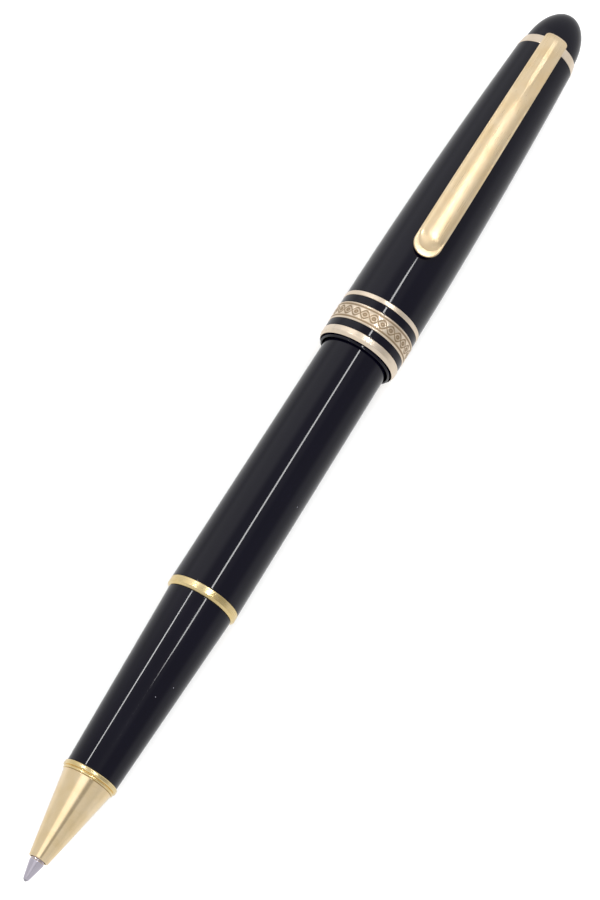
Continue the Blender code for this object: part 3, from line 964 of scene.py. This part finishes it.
def make_cap_dome():
    """Plain black dome: half an ellipse with a small flat at its apex."""
    span = Span("cap_dome")
    flat, socket, socket_depth = 1.0, 1.3, 3.6
    rim = math.acos(flat / span.radius)
    full = (span.back - span.front) / math.sin(rim)
    corners = [(span.back, 0.0, 0)]
    for share in between(1.0, 0.0, 34):
        turn = rim * share
        corners.append((span.front + full * math.sin(turn), span.radius * math.cos(turn), 0))
    corners += [
        (span.front, socket, 0.05),
        (span.front + socket_depth, socket, 0.1),
        (span.front + socket_depth, 0.0, 0),
    ]
    return turned("cap_dome", corners, RESIN, solid=True)


# Clip

def smooth_step(value, low, high):
    share = min(max((value - low) / (high - low), 0.0), 1.0)
    return share * share * (3 - 2 * share)


def curve_through(points, value):
    """Height of a smooth curve through (place, height) points."""
    value = min(max(value, points[0][0]), points[-1][0])
    i = next(k for k in range(len(points) - 1) if value <= points[k + 1][0])

    def slope(k):
        before, after = points[max(k - 1, 0)], points[min(k + 1, len(points) - 1)]
        return (after[1] - before[1]) / (after[0] - before[0])

    (x0, y0), (x1, y1) = points[i], points[i + 1]
    width = x1 - x0
    t = (value - x0) / width
    return ((1 + 2 * t) * (1 - t) ** 2 * y0 + t * (1 - t) ** 2 * width * slope(i)
            + t * t * (3 - 2 * t) * y1 - t * t * (1 - t) * width * slope(i + 1))


class ClipForm:
    """The clip's shape: distance is measured down from its top, heights from the pen's axis."""

    ridge_top = [(0.0, 6.55), (0.45, 6.88), (1.3, 7.02), (7.5, 7.12), (17.5, 7.40),
                 (27.5, 7.65), (35.5, 7.82), (39.0, 7.85), (42.5, 7.74)]
    underside = [(2.2, 5.45), (7.5, 5.80), (17.5, 6.22), (27.5, 6.52), (35.5, 6.68),
                 (37.8, 6.64), (39.3, 6.36), (40.6, 6.36), (41.7, 6.46), (42.5, 6.60)]
    corner = 0.95           # rounding of the top's two corners
    top_half = 1.76         # half of the width just below the top
    edge = 0.13             # rounding of the plate's edges
    flange = 0.16           # flat margin beside the crown
    end_half = 0.02         # half of the width left at the very end
    widening = (-14.0, 37.0)    # distances between which the plate widens
    ridge_half = 0.30       # flat ridge between the two upper facets
    ridge_point = 12.3      # where the ridge runs out in a point
    ridge_fade = 4.5        # length over which it narrows
    change = (-1.8, 2.2)    # where the facets turn into the crown, from that point
    facet_drop = 0.34
    crown_drop = 0.50
    crown_power = 0.62      # fullness of the crown across
    nose_power = 0.8        # and of its rounded end
    nose_start = 38.7       # where the crown begins to round off
    nose_end = 41.2
    nose_fall = 0.42        # droop of the end beyond the crown
    saddle = 4.80           # inside of the root, which sits on the clip ring
    root = 1.3
    root_blend = 1.1        # length over which the saddle gives way to the plate's underside

    def __init__(self, length, widest):
        self.length = length
        self.round_half = widest
        self.round_centre = length - widest

    def body_half(self, distance):
        share = smooth_step(distance, *self.widening)
        return self.top_half + (self.round_half - self.top_half) * share

    def half_width(self, distance):
        half = self.body_half(distance)
        if distance < self.corner:
            half += math.sqrt(self.corner ** 2 - (self.corner - distance) ** 2) - self.corner
        if distance > self.round_centre:
            beyond = distance - self.round_centre
            half = math.sqrt(max(self.round_half ** 2 - beyond ** 2, self.end_half ** 2))
        return half

    def from_edge(self, distance, across):
        """How far a point lies inside the plate's outline."""
        half = self.body_half(distance)
        if distance > self.round_centre:
            return self.round_half - math.hypot(across, distance - self.round_centre)
        if distance < self.corner and across > half - self.corner:
            return self.corner - math.hypot(self.corner - distance, across - half + self.corner)
        return min(half - across, distance)

    def rounding(self, distance, across):
        inside = min(max(self.from_edge(distance, across), 0.0), self.edge)
        return self.edge - math.sqrt(self.edge ** 2 - (self.edge - inside) ** 2)

    def facets(self, distance, across):
        fade = smooth_step(distance, self.ridge_point - self.ridge_fade, self.ridge_point)
        ridge = self.ridge_half * (1 - fade)
        slope = self.facet_drop / (self.body_half(distance) - self.ridge_half)
        return -slope * max(0.0, across - ridge)

    def crown(self, distance, across):
        beyond = min(max(distance - self.nose_start, 0.0) / (self.nose_end - self.nose_start), 1.0)
        rounding = math.sqrt(1 - beyond ** 2)
        half = (self.body_half(distance) - self.flange) * rounding
        tip_fall = self.nose_fall * smooth_step(distance, self.nose_start, self.length)
        if across >= half:
            return -self.crown_drop - tip_fall
        swell = (1 - (across / half) ** 2) ** self.crown_power
        return -self.crown_drop * (1 - swell * rounding ** self.nose_power) - tip_fall

    def top(self, distance, across):
        first, last = self.change
        share = smooth_step(distance, self.ridge_point + first, self.ridge_point + last)
        form = (1 - share) * self.facets(distance, across)
        form += share * self.crown(distance, across)
        return curve_through(self.ridge_top, distance) + form - self.rounding(distance, across)

    def bottom(self, distance, across):
        plate = curve_through(self.underside, distance)
        saddle = math.sqrt(self.saddle ** 2 - across ** 2)
        share = smooth_step(distance, self.root, self.root + self.root_blend)
        return saddle + (plate - saddle) * share + 0.5 * self.rounding(distance, across)


def make_clip():
    """Spring clip: two facets and a ridge above, a convex crown below, and a rounded end."""
    low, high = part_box("clip")
    form = ClipForm((high.x - low.x) / MM, (high.y - low.y) / 2 / MM)
    columns = 72
    rim, shoulder, nose = 0.12, 1.6, 37.5
    shares = [math.sin(math.pi / 2 * (2 * i / columns - 1)) for i in range(columns + 1)]
    rows = [form.edge * (1 - math.cos(math.radians(a))) for a in between(0, 80, 9)]
    rows += between(rim, shoulder, 26)[1:]
    rows += between(shoulder, nose, 150)[1:]
    rows += between(nose, form.round_centre, 40)[1:]
    rows += [form.round_centre + form.round_half * math.sin(math.radians(a))
             for a in between(0, 90, 48)[1:]]
    solid = bmesh.new()
    loops = []
    for distance in rows:
        half = form.half_width(distance)
        upper, lower = [], []
        for share in shares:
            across = share * half
            x = high.x - distance * MM
            for line, height in ((upper, form.top), (lower, form.bottom)):
                z = AXIS_Z + height(distance, abs(across)) * MM
                line.append(solid.verts.new((x, across * MM, z)))
        loops.append((upper, lower))
    for first, second in zip(loops, loops[1:]):
        for side in (0, 1):
            for i in range(columns):
                solid.faces.new((first[side][i], first[side][i + 1],
                                 second[side][i + 1], second[side][i]))
        for i in (0, columns):
            solid.faces.new((first[0][i], second[0][i], second[1][i], first[1][i]))
    for upper, lower in (loops[0], loops[-1]):
        for i in range(columns):
            solid.faces.new((upper[i], upper[i + 1], lower[i + 1], lower[i]))
    bmesh.ops.recalc_face_normals(solid, faces=solid.faces)
    mesh = bpy.data.meshes.new("formed_clip")
    solid.to_mesh(mesh)
    solid.free()
    mesh.materials.append(CLIP_GOLD)
    return smooth_mesh(new_object("formed_clip", mesh), 38)


# Assembly

MAKERS = {
    "nose_cone": make_nose_cone,
    "nose_ring": make_nose_ring,
    "grip_section": make_grip_section,
    "section_liner": make_section_liner,
    "writing_ball": make_writing_ball,
    "refill_tip": make_refill_tip,
    "refill_nose": make_refill_nose,
    "ink_wick": lambda: rod("ink_wick", FIBRE, 0.12, 48),
    "refill_tube": make_refill_tube,
    "ink_reservoir": lambda: rod("ink_reservoir", FIBRE, 0.25, PLAIN_SIDES),
    "refill_plug": make_refill_plug,
    "refill_spring": make_refill_spring,
    "barrel_ring": make_barrel_ring,
    "barrel_bush": make_barrel_bush,
    "barrel_shell": make_barrel_shell,
    "spring_seat": make_spring_seat,
    "cap_shell": make_cap_shell,
    "lip_ring": make_lip_ring,
    "front_spacer": lambda: spacer("front_spacer", "lip_ring", "centre_band"),
    "centre_band": make_centre_band,
    "rear_spacer": lambda: spacer("rear_spacer", "centre_band", "thin_ring"),
    "thin_ring": make_thin_ring,
    "clutch_ring": make_clutch_ring,
    "inner_cap": make_inner_cap,
    "cap_stud": make_cap_stud,
    "clip_ring": make_clip_ring,
    "cap_dome": make_cap_dome,
    "clip": make_clip,
}

pieces = {node: settle(make(), node) for node, make in MAKERS.items()}


def let_spring_shorten():
    """Gives the coil a mesh of its own."""
    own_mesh(pieces["refill_spring"])


let_spring_shorten()


# Camera, floor and light

CAMERA_BEHIND_TIP = 0.0561      # along the pen, beyond the writing ball
CAMERA_HEIGHT = 0.372           # above the pen's axis
CAMERA_SIDE = -0.00031          # beside the pen's axis
CAMERA_TILT = 19.1              # degrees from straight down, towards the cap
CAMERA_ROLL = 57.69             # degrees that the pen rises across the view
CAMERA_LENS = 110.2             # millimetres


def place_camera():
    data = bpy.data.cameras.new("camera")
    data.lens = CAMERA_LENS
    data.sensor_width = 36.0
    data.clip_start = 0.01
    data.clip_end = 20.0
    camera = new_object("camera", data)
    tilt, roll = math.radians(CAMERA_TILT), math.radians(CAMERA_ROLL)
    forward = Vector((math.sin(tilt), 0.0, -math.cos(tilt)))
    along = Vector((math.cos(tilt), 0.0, math.sin(tilt)))
    side = Vector((0.0, -1.0, 0.0))
    right = math.cos(roll) * along + math.sin(roll) * side
    up = math.sin(roll) * along - math.cos(roll) * side
    turn = Matrix((right, up, -forward)).transposed().to_4x4()
    place = Vector((TIP_X - CAMERA_BEHIND_TIP, CAMERA_SIDE, AXIS_Z + CAMERA_HEIGHT))
    camera.matrix_world = Matrix.Translation(place) @ turn
    bpy.context.scene.camera = camera


def lay_floor():
    size, drop = 1.6, 0.0002
    mesh = bpy.data.meshes.new("floor")
    form = bmesh.new()
    bmesh.ops.create_grid(form, x_segments=1, y_segments=1, size=size)
    bmesh.ops.translate(form, verts=form.verts, vec=(0, 0, -drop))
    form.to_mesh(mesh)
    form.free()
    f = Finish("pale_floor", Metallic=0.0, IOR=1.3)
    f.color(tint(f.w, f.noise(3.0), (0.90, 0.90, 0.90), (0.92, 0.92, 0.92)))
    f.shader.inputs["Roughness"].default_value = 0.9
    mesh.materials.append(f.material)
    floor = new_object("floor", mesh)
    floor.visible_glossy = False


def lamp(name, length, width, radiance):
    """Area light of an even radiance."""
    data = bpy.data.lights.new(name, "AREA")
    data.shape = "RECTANGLE"
    data.size = length
    data.size_y = width
    data.energy = radiance * math.pi * length * width
    return new_object(name, data)


def strip_light(name, first, last, width, radiance):
    """A long thin light from one point to another that faces the pen; only gloss shows it."""
    first, last = Vector(first), Vector(last)
    middle = (first + last) / 2
    strip = lamp(name, (last - first).length, width, radiance)
    long_way = (last - first).normalized()
    back = middle - Vector((0, 0, AXIS_Z))
    back = (back - back.dot(long_way) * long_way).normalized()
    turn = Matrix((long_way, back.cross(long_way), back)).transposed().to_4x4()
    strip.matrix_world = Matrix.Translation(middle) @ turn
    strip.visible_diffuse = False


def overhead_light():
    """Broad soft light that whitens the floor without showing in the gloss."""
    size, height, radiance = 2.4, 1.5, 2.8
    overhead = lamp("overhead", size, size, radiance)
    overhead.location = (0.0, 0.0, height)
    overhead.visible_glossy = False


TENT_RADIANCE = 0.70
TABLE_RADIANCE = 0.85
TABLE_EDGE = (-0.15, -0.6)      # height of a direction where its tone starts and is full
SOLID_SHARE = 0.4               # how much of each reach is full strength before the soft edge

# What stands in the tent: its middle and its reach in degrees, sideways from straight up and
# along the pen towards the cap, and its radiance.
STUDIO = [
    ("lens_opening", (-11, -6), (14, 14), 0.35),
    ("front_panel", (20, -8), (25, 12), 1.25),
    ("dark_flag", (-45, 12), (40, 24), 0.35),
    ("grey_card", (40, 14), (70, 16), 0.45),
    ("white_panel", (60, 25), (40, 20), 1.00),
]


def light_room():
    """Surrounds the pen with an even pale tent and the few soft-edged things in it."""
    world = bpy.data.worlds.new("studio")
    world.use_nodes = True
    bpy.context.scene.world = world
    tree = world.node_tree
    w = Writer(tree)
    way = w.add("ShaderNodeTexCoord").outputs["Generated"]
    parts = w.add("ShaderNodeSeparateXYZ", {"Vector": way}).outputs
    angles = w.math("ARCTAN2", parts["Y"], parts["Z"]), w.math("ARCSINE", parts["X"])
    light = TENT_RADIANCE
    for name, middle, reach, radiance in STUDIO:
        cover = 1.0
        for angle, centre, half in zip(angles, middle, reach):
            gap = w.math("ABSOLUTE", w.math("SUBTRACT", angle, math.radians(centre)))
            inputs = {"Value": gap, "From Min": math.radians(half),
                      "From Max": math.radians(half * SOLID_SHARE)}
            near = w.add("ShaderNodeMapRange", inputs, interpolation_type="SMOOTHSTEP",
                         label=name).outputs["Result"]
            cover = w.math("MULTIPLY", cover, near)
        light = w.math("MULTIPLY_ADD", cover, w.math("SUBTRACT", radiance, light), light)
    below = w.span(parts["Z"], *TABLE_EDGE, 0.0, 1.0)
    light = w.math("MULTIPLY_ADD", below, w.math("SUBTRACT", TABLE_RADIANCE, light), light)
    background = tree.nodes["Background"]
    tree.links.new(light, background.inputs["Color"])
    background.inputs["Strength"].default_value = 1.0


place_camera()
lay_floor()
light_room()
overhead_light()
strip_light("long_strip", (0.110, -0.146, 0.90), (0.445, 0.070, 0.90), 0.050, 20.0)
strip_light("side_strip", (0.02, 0.62, 0.65), (0.16, 0.62, 0.65), 0.050, 24.0)
bpy.context.scene.view_settings.view_transform = "Standard"
